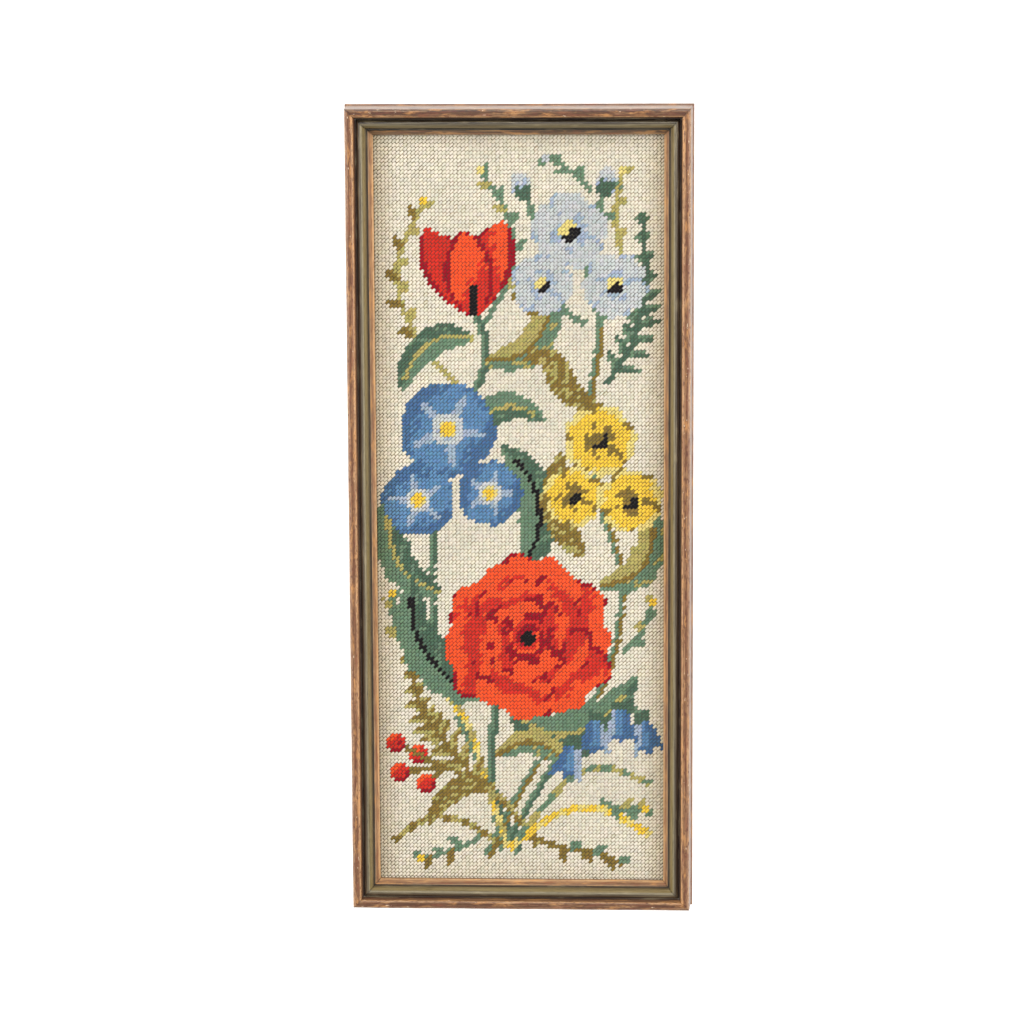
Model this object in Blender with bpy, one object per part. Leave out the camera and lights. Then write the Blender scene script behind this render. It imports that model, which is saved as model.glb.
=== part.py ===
"""Needlepoint canvas panel in its wooden picture frame, lying face up.

Four mitred rails of one moulding, the stitched canvas behind their lip, and the
plain board that the canvas is stretched on. Metres, +Z up. The frame's back lies
on z = 0, its middle is over the origin, and the top of the picture is at +Y.
"""

import bpy
import bmesh
from mathutils import Vector

MM = 0.001

# The opening that the lip leaves, and the moulding's section: its face, and its
# whole width at the back, where the outer side ends in a small foot.
OPENING_WIDTH = 160 * MM
OPENING_HEIGHT = 420 * MM
FACE_WIDTH = 14.9 * MM
RAIL_WIDTH = 16.4 * MM
RAIL_DEPTH = 24 * MM

# The step behind the lip, which takes the canvas and the board.
REBATE_WIDTH = 5 * MM
REBATE_DEPTH = 10.5 * MM

# The sheets in the rebate.
CANVAS_THICKNESS = 2 * MM
BOARD_THICKNESS = 3 * MM

# Touching pieces stay this far apart, and each mitre is open by as much.
GAP = 0.3 * MM

# Members of the moulding's face, from the opening outwards. Each place is given as
# the distance out from the lip's edge and the height over the frame's back.
LIP_EDGE = (0.0, 12.7 * MM)
LIP_ROUND = 0.5 * MM
LIP_TOP = (2.6 * MM, 16.1 * MM)
QUIRK_INNER = (2.8 * MM, 15.3 * MM)
QUIRK_OUTER = (3.5 * MM, 15.3 * MM)
CUSHION_FOOT = (3.7 * MM, 15.8 * MM)
CUSHION_CREST = (6.0 * MM, 20.6 * MM)
CUSHION_HEEL = (8.1 * MM, 19.5 * MM)
CHANNEL_END = (9.8 * MM, 18.6 * MM)
BEAD_SPRING = (10.0 * MM, 22.0 * MM)
BEAD_CROWN_INNER = (11.6 * MM, RAIL_DEPTH)
BEAD_CROWN_OUTER = (13.2 * MM, RAIL_DEPTH)
BEAD_SIDE = (FACE_WIDTH, 21.5 * MM)
SIDE_HEEL = (15.5 * MM, 3.6 * MM)
FOOT_TOP = (RAIL_WIDTH, 3.0 * MM)

# Corners that steer the curved members.
CUSHION_RISE_CORNER = (4.3 * MM, 20.0 * MM)
CUSHION_FALL_CORNER = (7.5 * MM, 20.9 * MM)
CHANNEL_CORNER = (8.7 * MM, 16.8 * MM)
BEAD_INNER_CORNER = (10.0 * MM, RAIL_DEPTH)
BEAD_OUTER_CORNER = (FACE_WIDTH, RAIL_DEPTH)
CURVE_STEPS = 6

MITRE_SETBACK = GAP / 2 * 2**0.5

# The rails: the side of the opening that each one borders.
RAILS = {
    "frame_rail_top": "top",
    "frame_rail_bottom": "bottom",
    "frame_rail_left": "left",
    "frame_rail_right": "right",
}


def clear_scene():
    for obj in list(bpy.data.objects):
        bpy.data.objects.remove(obj, do_unlink=True)


def finish(name, colour, roughness):
    """A plain Principled material."""
    material = bpy.data.materials.new(name)
    material.use_nodes = True
    shader = material.node_tree.nodes["Principled BSDF"]
    shader.inputs["Base Color"].default_value = (*colour, 1.0)
    shader.inputs["Roughness"].default_value = roughness
    shader.inputs["Metallic"].default_value = 0.0
    return material


def bend(start, corner, end):
    """Points of a curved member after its start, up to and with its end."""
    points = []
    for step in range(1, CURVE_STEPS + 1):
        t = step / CURVE_STEPS
        points.append(
            tuple(
                (1 - t) ** 2 * a + 2 * t * (1 - t) * b + t**2 * c
                for a, b, c in zip(start, corner, end)
            )
        )
    return points


def moulding_section():
    """The moulding cut across: (out from the lip's edge, height), once round."""
    lip_under = (0.0, REBATE_DEPTH)
    lip_front = (0.0, LIP_EDGE[1] - LIP_ROUND)
    lip_slope = (LIP_TOP[0] - LIP_EDGE[0], LIP_TOP[1] - LIP_EDGE[1])
    slope_length = (lip_slope[0] ** 2 + lip_slope[1] ** 2) ** 0.5
    lip_face = tuple(e + LIP_ROUND * s / slope_length for e, s in zip(LIP_EDGE, lip_slope))
    section = [lip_under, lip_front]
    section += bend(lip_front, LIP_EDGE, lip_face)
    section += [LIP_TOP, QUIRK_INNER, QUIRK_OUTER, CUSHION_FOOT]
    section += bend(CUSHION_FOOT, CUSHION_RISE_CORNER, CUSHION_CREST)
    section += bend(CUSHION_CREST, CUSHION_FALL_CORNER, CUSHION_HEEL)
    section += bend(CUSHION_HEEL, CHANNEL_CORNER, CHANNEL_END)
    section += [BEAD_SPRING]
    section += bend(BEAD_SPRING, BEAD_INNER_CORNER, BEAD_CROWN_INNER)
    section += [BEAD_CROWN_OUTER]
    section += bend(BEAD_CROWN_OUTER, BEAD_OUTER_CORNER, BEAD_SIDE)
    section += [SIDE_HEEL, FOOT_TOP]
    section += [(RAIL_WIDTH, 0.0), (REBATE_WIDTH, 0.0), (REBATE_WIDTH, REBATE_DEPTH)]
    return section


def rail_point(side, end, out, height):
    """A section point at one end (-1 or 1) of the rail on that side of the opening."""
    if side in ("top", "bottom"):
        along = end * (OPENING_WIDTH / 2 + out - MITRE_SETBACK)
        across = OPENING_HEIGHT / 2 + out
        return Vector((along, across if side == "top" else -across, height))
    along = end * (OPENING_HEIGHT / 2 + out - MITRE_SETBACK)
    across = OPENING_WIDTH / 2 + out
    return Vector((across if side == "right" else -across, along, height))


def add_mesh(name, mesh_maker, material):
    """An object whose mesh the maker fills in, with its faces turned outwards."""
    shape = bmesh.new()
    mesh_maker(shape)
    bmesh.ops.recalc_face_normals(shape, faces=shape.faces)
    mesh = bpy.data.meshes.new(name)
    shape.to_mesh(mesh)
    shape.free()
    mesh.materials.append(material)
    obj = bpy.data.objects.new(name, mesh)
    bpy.context.scene.collection.objects.link(obj)
    return obj


def rail(name, side, material):
    """One length of moulding, mitred at both ends."""

    def fill(shape):
        section = moulding_section()
        rings = []
        for end in (-1, 1):
            rings.append([shape.verts.new(rail_point(side, end, *point)) for point in section])
        count = len(section)
        for index in range(count):
            following = (index + 1) % count
            shape.faces.new(
                (rings[0][index], rings[0][following], rings[1][following], rings[1][index])
            )
        for ring in rings:
            shape.faces.new(ring)

    return add_mesh(name, fill, material)


def sheet(name, top, thickness, material):
    """A flat sheet that fills the rebate, a gap clear of its wall all round."""
    width = OPENING_WIDTH + 2 * (REBATE_WIDTH - GAP)
    height = OPENING_HEIGHT + 2 * (REBATE_WIDTH - GAP)

    def fill(shape):
        bmesh.ops.create_cube(shape, size=1.0)
        bmesh.ops.scale(shape, vec=(width, height, thickness), verts=shape.verts)
        bmesh.ops.translate(shape, vec=(0.0, 0.0, top - thickness / 2), verts=shape.verts)

    return add_mesh(name, fill, material)


def main():
    clear_scene()
    wood = finish("painted_moulding", (0.25, 0.12, 0.05), 0.42)
    wool = finish("cream_wool", (0.57, 0.50, 0.35), 0.9)
    board = finish("grey_board", (0.42, 0.36, 0.27), 0.85)
    for name, side in RAILS.items():
        rail(name, side, wood)
    canvas_top = REBATE_DEPTH - GAP
    sheet("needlepoint_canvas", canvas_top, CANVAS_THICKNESS, wool)
    board_top = canvas_top - CANVAS_THICKNESS - GAP
    sheet("back_board", board_top, BOARD_THICKNESS, board)


main()
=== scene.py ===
"""Needlepoint canvas panel in its painted wooden frame: the looks.

Every stitch is a plump strand of wool, worked from a chart that is drawn on the
grid of stitches by functions. The frame's four rails are one moulding with worn
paint. All sizes are in metres, and colours are given as they look in daylight.
"""

import math

import bpy
import numpy as np
from mathutils import Matrix, Vector


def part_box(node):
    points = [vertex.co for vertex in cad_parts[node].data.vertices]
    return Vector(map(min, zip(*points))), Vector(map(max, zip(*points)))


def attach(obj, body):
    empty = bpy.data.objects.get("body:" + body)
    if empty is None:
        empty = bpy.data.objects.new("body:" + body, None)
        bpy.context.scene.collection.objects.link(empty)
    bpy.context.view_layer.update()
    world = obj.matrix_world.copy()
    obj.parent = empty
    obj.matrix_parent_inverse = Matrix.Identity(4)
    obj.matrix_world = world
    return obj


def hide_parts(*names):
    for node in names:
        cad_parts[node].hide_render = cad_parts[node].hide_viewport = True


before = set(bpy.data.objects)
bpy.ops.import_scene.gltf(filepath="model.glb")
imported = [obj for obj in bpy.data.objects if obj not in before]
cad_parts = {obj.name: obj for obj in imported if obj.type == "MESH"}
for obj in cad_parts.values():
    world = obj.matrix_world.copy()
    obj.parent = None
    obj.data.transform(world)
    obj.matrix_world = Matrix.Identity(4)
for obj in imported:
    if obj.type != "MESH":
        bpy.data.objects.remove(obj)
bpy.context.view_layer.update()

MM = 0.001
BODY = "root"
CANVAS_LOW, CANVAS_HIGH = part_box("needlepoint_canvas")
RAIL_LOW, RAIL_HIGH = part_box("frame_rail_right")

# The frame, as its solids give it.
RAIL_WIDTH = RAIL_HIGH.x - RAIL_LOW.x
RAIL_DEPTH = RAIL_HIGH.z
OPENING_WIDTH = 2 * RAIL_LOW.x
OPENING_HEIGHT = 2 * (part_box("frame_rail_top")[0].y)
REBATE_WIDTH = 5 * MM
REBATE_DEPTH = 10.5 * MM
MITRE_GAP = 0.06 * MM

# The canvas: 12 holes to the inch, worked a little way behind the lip.
PITCH = 25.4 * MM / 12
COLUMNS, ROWS = 78, 200
GROUND_TOP = CANVAS_LOW.z + 1.15 * MM
STITCH_CROWN = CANVAS_HIGH.z + 0.1 * MM

# Wool colours.
YARNS = {
    "cream": (229, 221, 202),
    "crimson": (156, 16, 34),
    "red": (212, 50, 38),
    "orange": (248, 88, 44),
    "deep_blue": (78, 113, 154),
    "mid_blue": (99, 141, 180),
    "pale_blue": (167, 182, 200),
    "white": (204, 207, 206),
    "pine": (82, 108, 88),
    "sage": (111, 139, 112),
    "olive": (138, 115, 55),
    "khaki": (182, 170, 101),
    "gold": (242, 202, 70),
    "straw": (234, 215, 132),
    "black": (24, 21, 23),
}
INK = {name: index for index, name in enumerate(YARNS)}

# The camera leans from straight overhead towards the picture's top and its right.
CAMERA_AIM = Vector((-4.47, 0.39, 12.0)) * MM
CAMERA_DISTANCE = 2.1394
LEAN_TO_TOP = math.radians(9.237)
LEAN_TO_RIGHT = math.radians(2.972)
CAMERA_ROLL = math.radians(0.273)
CAMERA_LENS = 134.99


def linear(colour):
    """A daylight colour, 0 to 255, as the renderer's linear RGBA."""
    parts = [c / 255 for c in colour]
    return (*[p / 12.92 if p <= 0.04045 else ((p + 0.055) / 1.055) ** 2.4 for p in parts], 1.0)


# Shader nodes


def new_material(name, roughness, sheen=0.0, specular=0.5):
    material = bpy.data.materials.new(name)
    material.use_nodes = True
    shader = material.node_tree.nodes["Principled BSDF"]
    shader.inputs["Roughness"].default_value = roughness
    shader.inputs["Sheen Weight"].default_value = sheen
    shader.inputs["Specular IOR Level"].default_value = specular
    return material, material.node_tree, shader


def add_node(tree, kind, inputs=None, **settings):
    """A node with its settings; each input takes a value, or the socket to link."""
    node = tree.nodes.new(kind)
    for key, value in settings.items():
        setattr(node, key, value)
    for key, value in (inputs or {}).items():
        if isinstance(value, bpy.types.NodeSocket):
            tree.links.new(value, node.inputs[key])
        else:
            node.inputs[key].default_value = value
    return node


def calc(tree, operation, a, b=0.0):
    return add_node(tree, "ShaderNodeMath", {0: a, 1: b}, operation=operation).outputs[0]


def mix_colour(tree, share, a, b, mode="MIX"):
    inputs = {0: share, 6: a, 7: b}
    return add_node(tree, "ShaderNodeMix", inputs, data_type="RGBA", blend_type=mode).outputs[2]


def noise(tree, place, scale, detail=2.0, roughness=0.5):
    inputs = {"Vector": place, "Scale": scale, "Detail": detail, "Roughness": roughness}
    return add_node(tree, "ShaderNodeTexNoise", inputs).outputs["Fac"]


def remap(tree, value, low, high, to_low=0.0, to_high=1.0):
    inputs = {"Value": value, "From Min": low, "From Max": high}
    inputs.update({"To Min": to_low, "To Max": to_high})
    return add_node(tree, "ShaderNodeMapRange", inputs).outputs[0]


def stretched(tree, place, scale, turn=0.0):
    inputs = {"Vector": place, "Scale": scale, "Rotation": (0.0, 0.0, turn)}
    return add_node(tree, "ShaderNodeMapping", inputs).outputs[0]


def object_place(tree):
    return add_node(tree, "ShaderNodeTexCoord").outputs["Object"]


def bump(tree, height, strength, distance, under=None):
    inputs = {"Height": height, "Strength": strength, "Distance": distance}
    if under is not None:
        inputs["Normal"] = under
    return add_node(tree, "ShaderNodeBump", inputs).outputs[0]


# Painted shade between the strands: what a strand keeps of its colour where it dives into the
# canvas.
CREAM_IN_PAINTED_SHADE = (0.72, 0.64, 0.43)
WOOL_IN_PAINTED_SHADE = (0.58, 0.54, 0.48)
# The stretch of its height over which the painted shade sets in.
DIVE_LOW, DIVE_HIGH = GROUND_TOP + 0.07 * MM, GROUND_TOP + 0.53 * MM
# Painted shade, with some dust, by the lip: its tint, how far it reaches, and its share at the two
# short ends.
LIP_SHADE = (0.78, 0.72, 0.62, 1.0)
LIP_SHADE_REACH = 13 * MM
LIP_SHADE_AT_ENDS = 0.3
# The slant and the scale of a strand's plies, and of its fibres.
PLY_SLANT, PLY_SCALE = math.radians(-27), 330.0
FIBRE_SLANT, FIBRE_SCALE = math.radians(-40), 3200.0


def wool_material(name, colour):
    """Plied wool: each stitch a shade of its own, deeper in painted shade where it dives into the
    canvas.
    """
    material, tree, shader = new_material("wool_" + name, 0.85, sheen=0.1, specular=0.15)
    shader.inputs["Sheen Roughness"].default_value = 0.4
    place = object_place(tree)
    axes = add_node(tree, "ShaderNodeSeparateXYZ", {0: place})
    per_stitch = {0: place, 1: (1 / PITCH,) * 3}
    cell = add_node(tree, "ShaderNodeVectorMath", per_stitch, operation="MULTIPLY").outputs[0]
    cell = add_node(tree, "ShaderNodeVectorMath", {0: cell}, operation="FLOOR").outputs[0]
    dice = add_node(tree, "ShaderNodeTexWhiteNoise", {"Vector": cell}, noise_dimensions="2D")
    lot = noise(tree, place, 28.0, 3.0)
    own = remap(tree, dice.outputs["Value"], 0, 1, 0.78, 0.89)
    shade = calc(tree, "ADD", own, remap(tree, lot, 0.3, 0.7, -0.03, 0.03))
    # Painted shade with some dust: darkest against the lip on the long sides, weaker at the short
    # ends.
    from_side = calc(tree, "SUBTRACT", OPENING_WIDTH / 2, calc(tree, "ABSOLUTE", axes.outputs[0]))
    from_end = calc(tree, "SUBTRACT", OPENING_HEIGHT / 2, calc(tree, "ABSOLUTE", axes.outputs[1]))
    near_side = remap(tree, from_side, 0.0, LIP_SHADE_REACH, 1.0, 0.0)
    near_end = remap(tree, from_end, 0.0, LIP_SHADE_REACH, LIP_SHADE_AT_ENDS, 0.0)
    lip_shade_and_dust = calc(tree, "MAXIMUM", near_side, near_end)
    twist = {"Vector": stretched(tree, place, (1.0, 1.0, 1.0), PLY_SLANT), "Scale": PLY_SCALE}
    twist.update({"Distortion": 1.2, "Detail": 1.0, "Detail Scale": 2.0})
    plies = add_node(tree, "ShaderNodeTexWave", twist, bands_direction="Y").outputs["Fac"]
    fibre = noise(tree, stretched(tree, place, (0.5, 2.2, 1.0), FIBRE_SLANT), FIBRE_SCALE, 2.0)
    # Painted shade in the grooves between the plies; the fibres vary the tone at random.
    value = calc(tree, "MULTIPLY", shade, remap(tree, plies, 0.0, 0.5, 0.9, 1.0))
    value = calc(tree, "MULTIPLY", value, remap(tree, fibre, 0.3, 0.7, 0.93, 1.05))
    grey = add_node(tree, "ShaderNodeCombineXYZ", {0: value, 1: value, 2: value}).outputs[0]
    # Painted shade: each strand darker low down, where it dives between its neighbours.
    depth = remap(tree, axes.outputs[2], DIVE_LOW, DIVE_HIGH)
    shares = CREAM_IN_PAINTED_SHADE if name == "cream" else WOOL_IN_PAINTED_SHADE
    deep = linear([part * share for part, share in zip(colour, shares)])
    tint = mix_colour(tree, depth, deep, linear(colour))
    tint = mix_colour(tree, 0.05, tint, dice.outputs["Color"], "OVERLAY")
    tint = mix_colour(tree, 1.0, tint, grey, "MULTIPLY")
    tint = mix_colour(tree, lip_shade_and_dust, tint, LIP_SHADE, "MULTIPLY")
    tree.links.new(tint, shader.inputs["Base Color"])
    normal = bump(tree, fibre, 0.25, 0.05 * MM, bump(tree, plies, 0.5, 0.12 * MM))
    tree.links.new(normal, shader.inputs["Normal"])
    return material


# The bare canvas shows only between the strands, so its colours are painted shade: cotton in the
# shade of the stitches.
CANVAS_HOLE_IN_SHADE, CANVAS_THREAD_IN_SHADE = (70, 60, 46), (130, 116, 90)


def canvas_material():
    """Cotton canvas in painted shade: dim under its stitches and darkest at the holes."""
    material, tree, shader = new_material("cotton_canvas", 0.9, sheen=0.1, specular=0.2)
    place = object_place(tree)
    spot = stretched(tree, place, (1 / PITCH,) * 3)
    axes = add_node(tree, "ShaderNodeSeparateXYZ", {0: spot})
    threads = []
    for axis in (0, 1):
        swell = calc(tree, "SINE", calc(tree, "MULTIPLY", axes.outputs[axis], math.pi))
        threads.append(calc(tree, "ABSOLUTE", swell))
    weave = calc(tree, "MAXIMUM", threads[0], threads[1])
    fuzz = noise(tree, place, 2400.0, 3.0)
    raised = remap(tree, weave, 0.5, 1.0, 0.25, 1.0)
    share = calc(tree, "MULTIPLY", raised, remap(tree, fuzz, 0.3, 0.7, 0.8, 1.0))
    colour = mix_colour(tree, share, linear(CANVAS_HOLE_IN_SHADE), linear(CANVAS_THREAD_IN_SHADE))
    tree.links.new(colour, shader.inputs["Base Color"])
    tree.links.new(bump(tree, weave, 0.6, 0.2 * MM), shader.inputs["Normal"])
    return material


BOARD_DARK, BOARD_PALE, BOARD_STAIN = (118, 88, 60), (166, 132, 96), (98, 74, 52)


def board_material():
    """Brown hardboard with its pressed fibres and a few stains."""
    material, tree, shader = new_material("hardboard", 0.8, specular=0.3)
    place = object_place(tree)
    fibres = noise(tree, place, 900.0, 6.0, 0.7)
    cloud = noise(tree, place, 14.0, 4.0)
    pressed = remap(tree, fibres, 0.3, 0.7)
    stained = remap(tree, cloud, 0.35, 0.75, 0.0, 0.45)
    colour = mix_colour(tree, pressed, linear(BOARD_DARK), linear(BOARD_PALE))
    colour = mix_colour(tree, stained, colour, linear(BOARD_STAIN))
    tree.links.new(colour, shader.inputs["Base Color"])
    tree.links.new(bump(tree, fibres, 0.4, 0.15 * MM), shader.inputs["Normal"])
    return material


FLOOR_GLOW = 0.5


def floor_material():
    material, tree, shader = new_material("pale_floor", 0.9, specular=0.1)
    shader.inputs["Emission Color"].default_value = (1.0, 1.0, 1.0, 1.0)
    shader.inputs["Emission Strength"].default_value = FLOOR_GLOW
    mottle = noise(tree, object_place(tree), 6.0, 3.0)
    colour = mix_colour(tree, mottle, linear((240, 240, 240)), linear((243, 243, 242)))
    tree.links.new(colour, shader.inputs["Base Color"])
    return material


# The moulding


def bend(start, corner, end, steps=8):
    """Points of a curved member after its start, up to and with its end."""
    t = np.arange(1, steps + 1)[:, None] / steps
    start, corner, end = (np.array(p, float) for p in (start, corner, end))
    return list((1 - t) ** 2 * start + 2 * t * (1 - t) * corner + t**2 * end)


def straight(start, end, steps=1):
    return bend(start, (np.array(start, float) + np.array(end, float)) / 2, end, steps)


# Members of the moulding from the opening outwards, as (out from the lip's edge,
# height over the back) in millimetres: end, steering corner or none, steps, and
# the paints that follow one another across it, some of them painted light and shade.
DEPTH_MM = RAIL_DEPTH / MM
WIDTH_MM = RAIL_WIDTH / MM
SECTION_START = (0.0, REBATE_DEPTH / MM)
WOOD = (172, 140, 102)
MEMBERS = (
    ("lip_edge", (0.0, 12.2), None, 2, ((80, 54, 36), (132, 94, 62))),
    # The pale at the lip's inner round and the start of its face is worn gold, partly painted
    # highlight.
    ("lip_round", (0.3, 13.1), (0.0, 12.7), 3, ((172, 130, 86), (210, 170, 124))),
    ("lip_face", (2.6, 16.1), None, 8,
     ((204, 164, 118), (166, 126, 88), (130, 94, 66), (128, 97, 72), (154, 128, 100))),
    ("quirk_wall", (2.8, 15.3), None, 2, ((96, 80, 64), (62, 52, 44))),
    ("quirk", (3.5, 15.3), None, 1, ((48, 40, 35), (66, 54, 44))),
    ("quirk_rise", (3.7, 15.8), None, 1, ((86, 70, 54), (106, 90, 68))),
    # The pale where the cushion's rise ends and its fall starts is a painted highlight on its
    # crest; the dark down its fall is painted shade.
    ("cushion_rise", (6.0, 20.6), (4.3, 20.0), 12,
     ((124, 107, 77), (134, 116, 77), (140, 121, 75), (122, 105, 65), (132, 122, 94))),
    ("cushion_fall", (8.1, 19.5), (7.5, 20.9), 10,
     ((130, 120, 94), (84, 71, 52), (68, 55, 38), (80, 64, 47), (76, 57, 45))),
    ("channel", (9.8, 18.6), (8.7, 16.8), 8, ((64, 48, 40), (46, 32, 27), (100, 73, 59))),
    ("bead_wall", (10.0, 22.0), None, 4, ((120, 86, 68), (134, 96, 74), (142, 106, 80))),
    # The pale across the bead's inner round, and in the middle of its outer round, is worn gold,
    # partly painted highlight.
    ("bead_inner", (11.6, DEPTH_MM), (10.0, DEPTH_MM), 8,
     ((142, 106, 80), (178, 134, 92), (212, 166, 118), (150, 110, 74), (104, 70, 43))),
    ("bead_crown", (13.2, DEPTH_MM), None, 5, ((98, 63, 38), (94, 58, 33), (108, 71, 45))),
    ("bead_outer", (14.9, 21.5), (14.9, DEPTH_MM), 8,
     ((126, 87, 58), (170, 138, 108), (104, 82, 65))),
    ("side", (15.5, 3.6), None, 10, ((100, 82, 67), (96, 76, 62), (141, 115, 98))),
    ("foot_top", (WIDTH_MM, 3.0), None, 2, ((133, 101, 85), (144, 114, 97))),
    ("foot_side", (WIDTH_MM, 0.4), None, 2, ((136, 106, 89), (104, 78, 63))),
    ("back_corner", (WIDTH_MM - 0.4, 0.0), None, 1, ((110, 80, 62), (140, 110, 84))),
    ("back", (REBATE_WIDTH / MM, 0.0), None, 6, (WOOD, WOOD)),
    ("rebate_wall", (REBATE_WIDTH / MM, SECTION_START[1]), None, 3, (WOOD, WOOD)),
    ("rebate_shelf", SECTION_START, None, 2, (WOOD, (128, 100, 72))),
)

# Painted light and shade on each rail, as a factor on its paint: lower where the rail lies in
# shade, higher at painted highlights, at these places out from the lip's edge: lip, quirk twice,
# cushion twice, its flank twice, channel, bead, crown, its fall twice, rim, side and foot.
PAINTED_LIGHT_PLACES = (2.5, 3.0, 3.6, 4.2, 5.6, 7.0, 8.4, 9.6, 11.2, 13.0, 13.8, 14.4, 14.9, 15.4, 15.9)
RAIL_PAINTED_LIGHT = {
    "top": (0.27, 0.15, 0.15, 0.62, 0.60, 0.22, 0.12, 0.7, 0.52, 0.42, 0.12, 0.14, 0.8, 0.84, 0.62),
    "bottom": (0.82, 0.85, 0.85, 0.76, 0.74, 1.0, 1.1, 0.62, 0.60, 0.62, 0.62, 0.62, 0.9, 1.0, 1.0),
    "left": (1.20, 1.0, 1.0, 1.0, 1.0, 0.92, 0.92, 0.95, 1.20, 0.95, 1.0, 1.0, 1.2, 1.0, 1.0),
    "right": (1.05, 1.25, 1.25, 1.05, 1.0, 0.62, 0.62, 1.0, 1.15, 1.0, 1.0, 1.0, 1.0, 1.0, 1.0),
}


def moulding_section():
    """Points once round the moulding, the way round to each in metres, and each one's paint and
    painted light.
    """
    points = [np.array(SECTION_START, float)]
    paints = [MEMBERS[0][4][0]]
    for _, end, corner, steps, colours in MEMBERS:
        if corner:
            points += bend(points[-1], corner, end, steps)
        else:
            points += straight(points[-1], end, steps)
        shares = np.arange(1, steps + 1) / steps * (len(colours) - 1)
        columns = [np.interp(shares, np.arange(len(colours)), column) for column in zip(*colours)]
        paints += list(np.stack(columns, -1))
    points = np.array(points) * MM
    way = np.concatenate([[0.0], np.cumsum(np.linalg.norm(np.diff(points, axis=0), axis=1))])
    return points, way, np.array([linear(paint)[:3] for paint in paints])


SECTION, WAY_ROUND, PAINTS_WITH_PAINTED_LIGHT = moulding_section()
GIRTH = WAY_ROUND[-1]


def place_on_rail(side, out, height, share):
    """Points of a rail: share 0 to 1 along it, between its two mitres."""
    long_way = side in ("left", "right")
    half = (OPENING_HEIGHT if long_way else OPENING_WIDTH) / 2 + out - MITRE_GAP
    across = (OPENING_WIDTH if long_way else OPENING_HEIGHT) / 2 + out
    along = (2 * share - 1) * half
    if side in ("left", "bottom"):
        across = -across
    if long_way:
        return np.stack(np.broadcast_arrays(across, along, height), -1)
    return np.stack(np.broadcast_arrays(along, across, height), -1)


def soft_wave(t, seed):
    """A gentle wander of five waves, the same every run."""
    dice = np.random.default_rng(seed)
    total = np.zeros_like(t)
    for k in range(1, 6):
        total += np.sin(2 * np.pi * (t * k * 1.7 + dice.random())) / k
    return total / 2


def make_mesh(name, points, faces, material, smooth=True):
    mesh = bpy.data.meshes.new(name)
    mesh.from_pydata([tuple(p) for p in points], [], faces)
    mesh.update()
    mesh.materials.append(material)
    if smooth:
        mesh.shade_smooth()
    obj = bpy.data.objects.new(name, mesh)
    bpy.context.scene.collection.objects.link(obj)
    return obj


# Rings along a long rail and a short one, and the waves of wear along each.
LONG_RINGS, SHORT_RINGS = 230, 110
LONG_WAVES, SHORT_WAVES = 4, 2
# Wear of the face: where it starts, how far it takes to set in, and from where out it also
# moves the edge; then how much it moves the edge, the face inwards, and the face down.
WEAR_FROM, WEAR_SETS_IN, OUTER_EDGE = 19 * MM, 5 * MM, 12 * MM
EDGE_WEAR, FACE_WEAR, HEIGHT_WEAR = 0.10 * MM, 0.04 * MM, 0.07 * MM
PAINT_WANDER = 0.1 * MM
# The dark line at a mitre: distances from it, and how much light the paint there gives back.
MITRE_PLACES = np.array([0.0, 0.25, 0.6]) * MM
MITRE_TONES = (0.35, 0.55, 1.0)
SHARP_ANGLE = math.radians(42)
# How far the grain of one rail lies from that of the next.
GRAIN_SHIFT = 0.37


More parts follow.
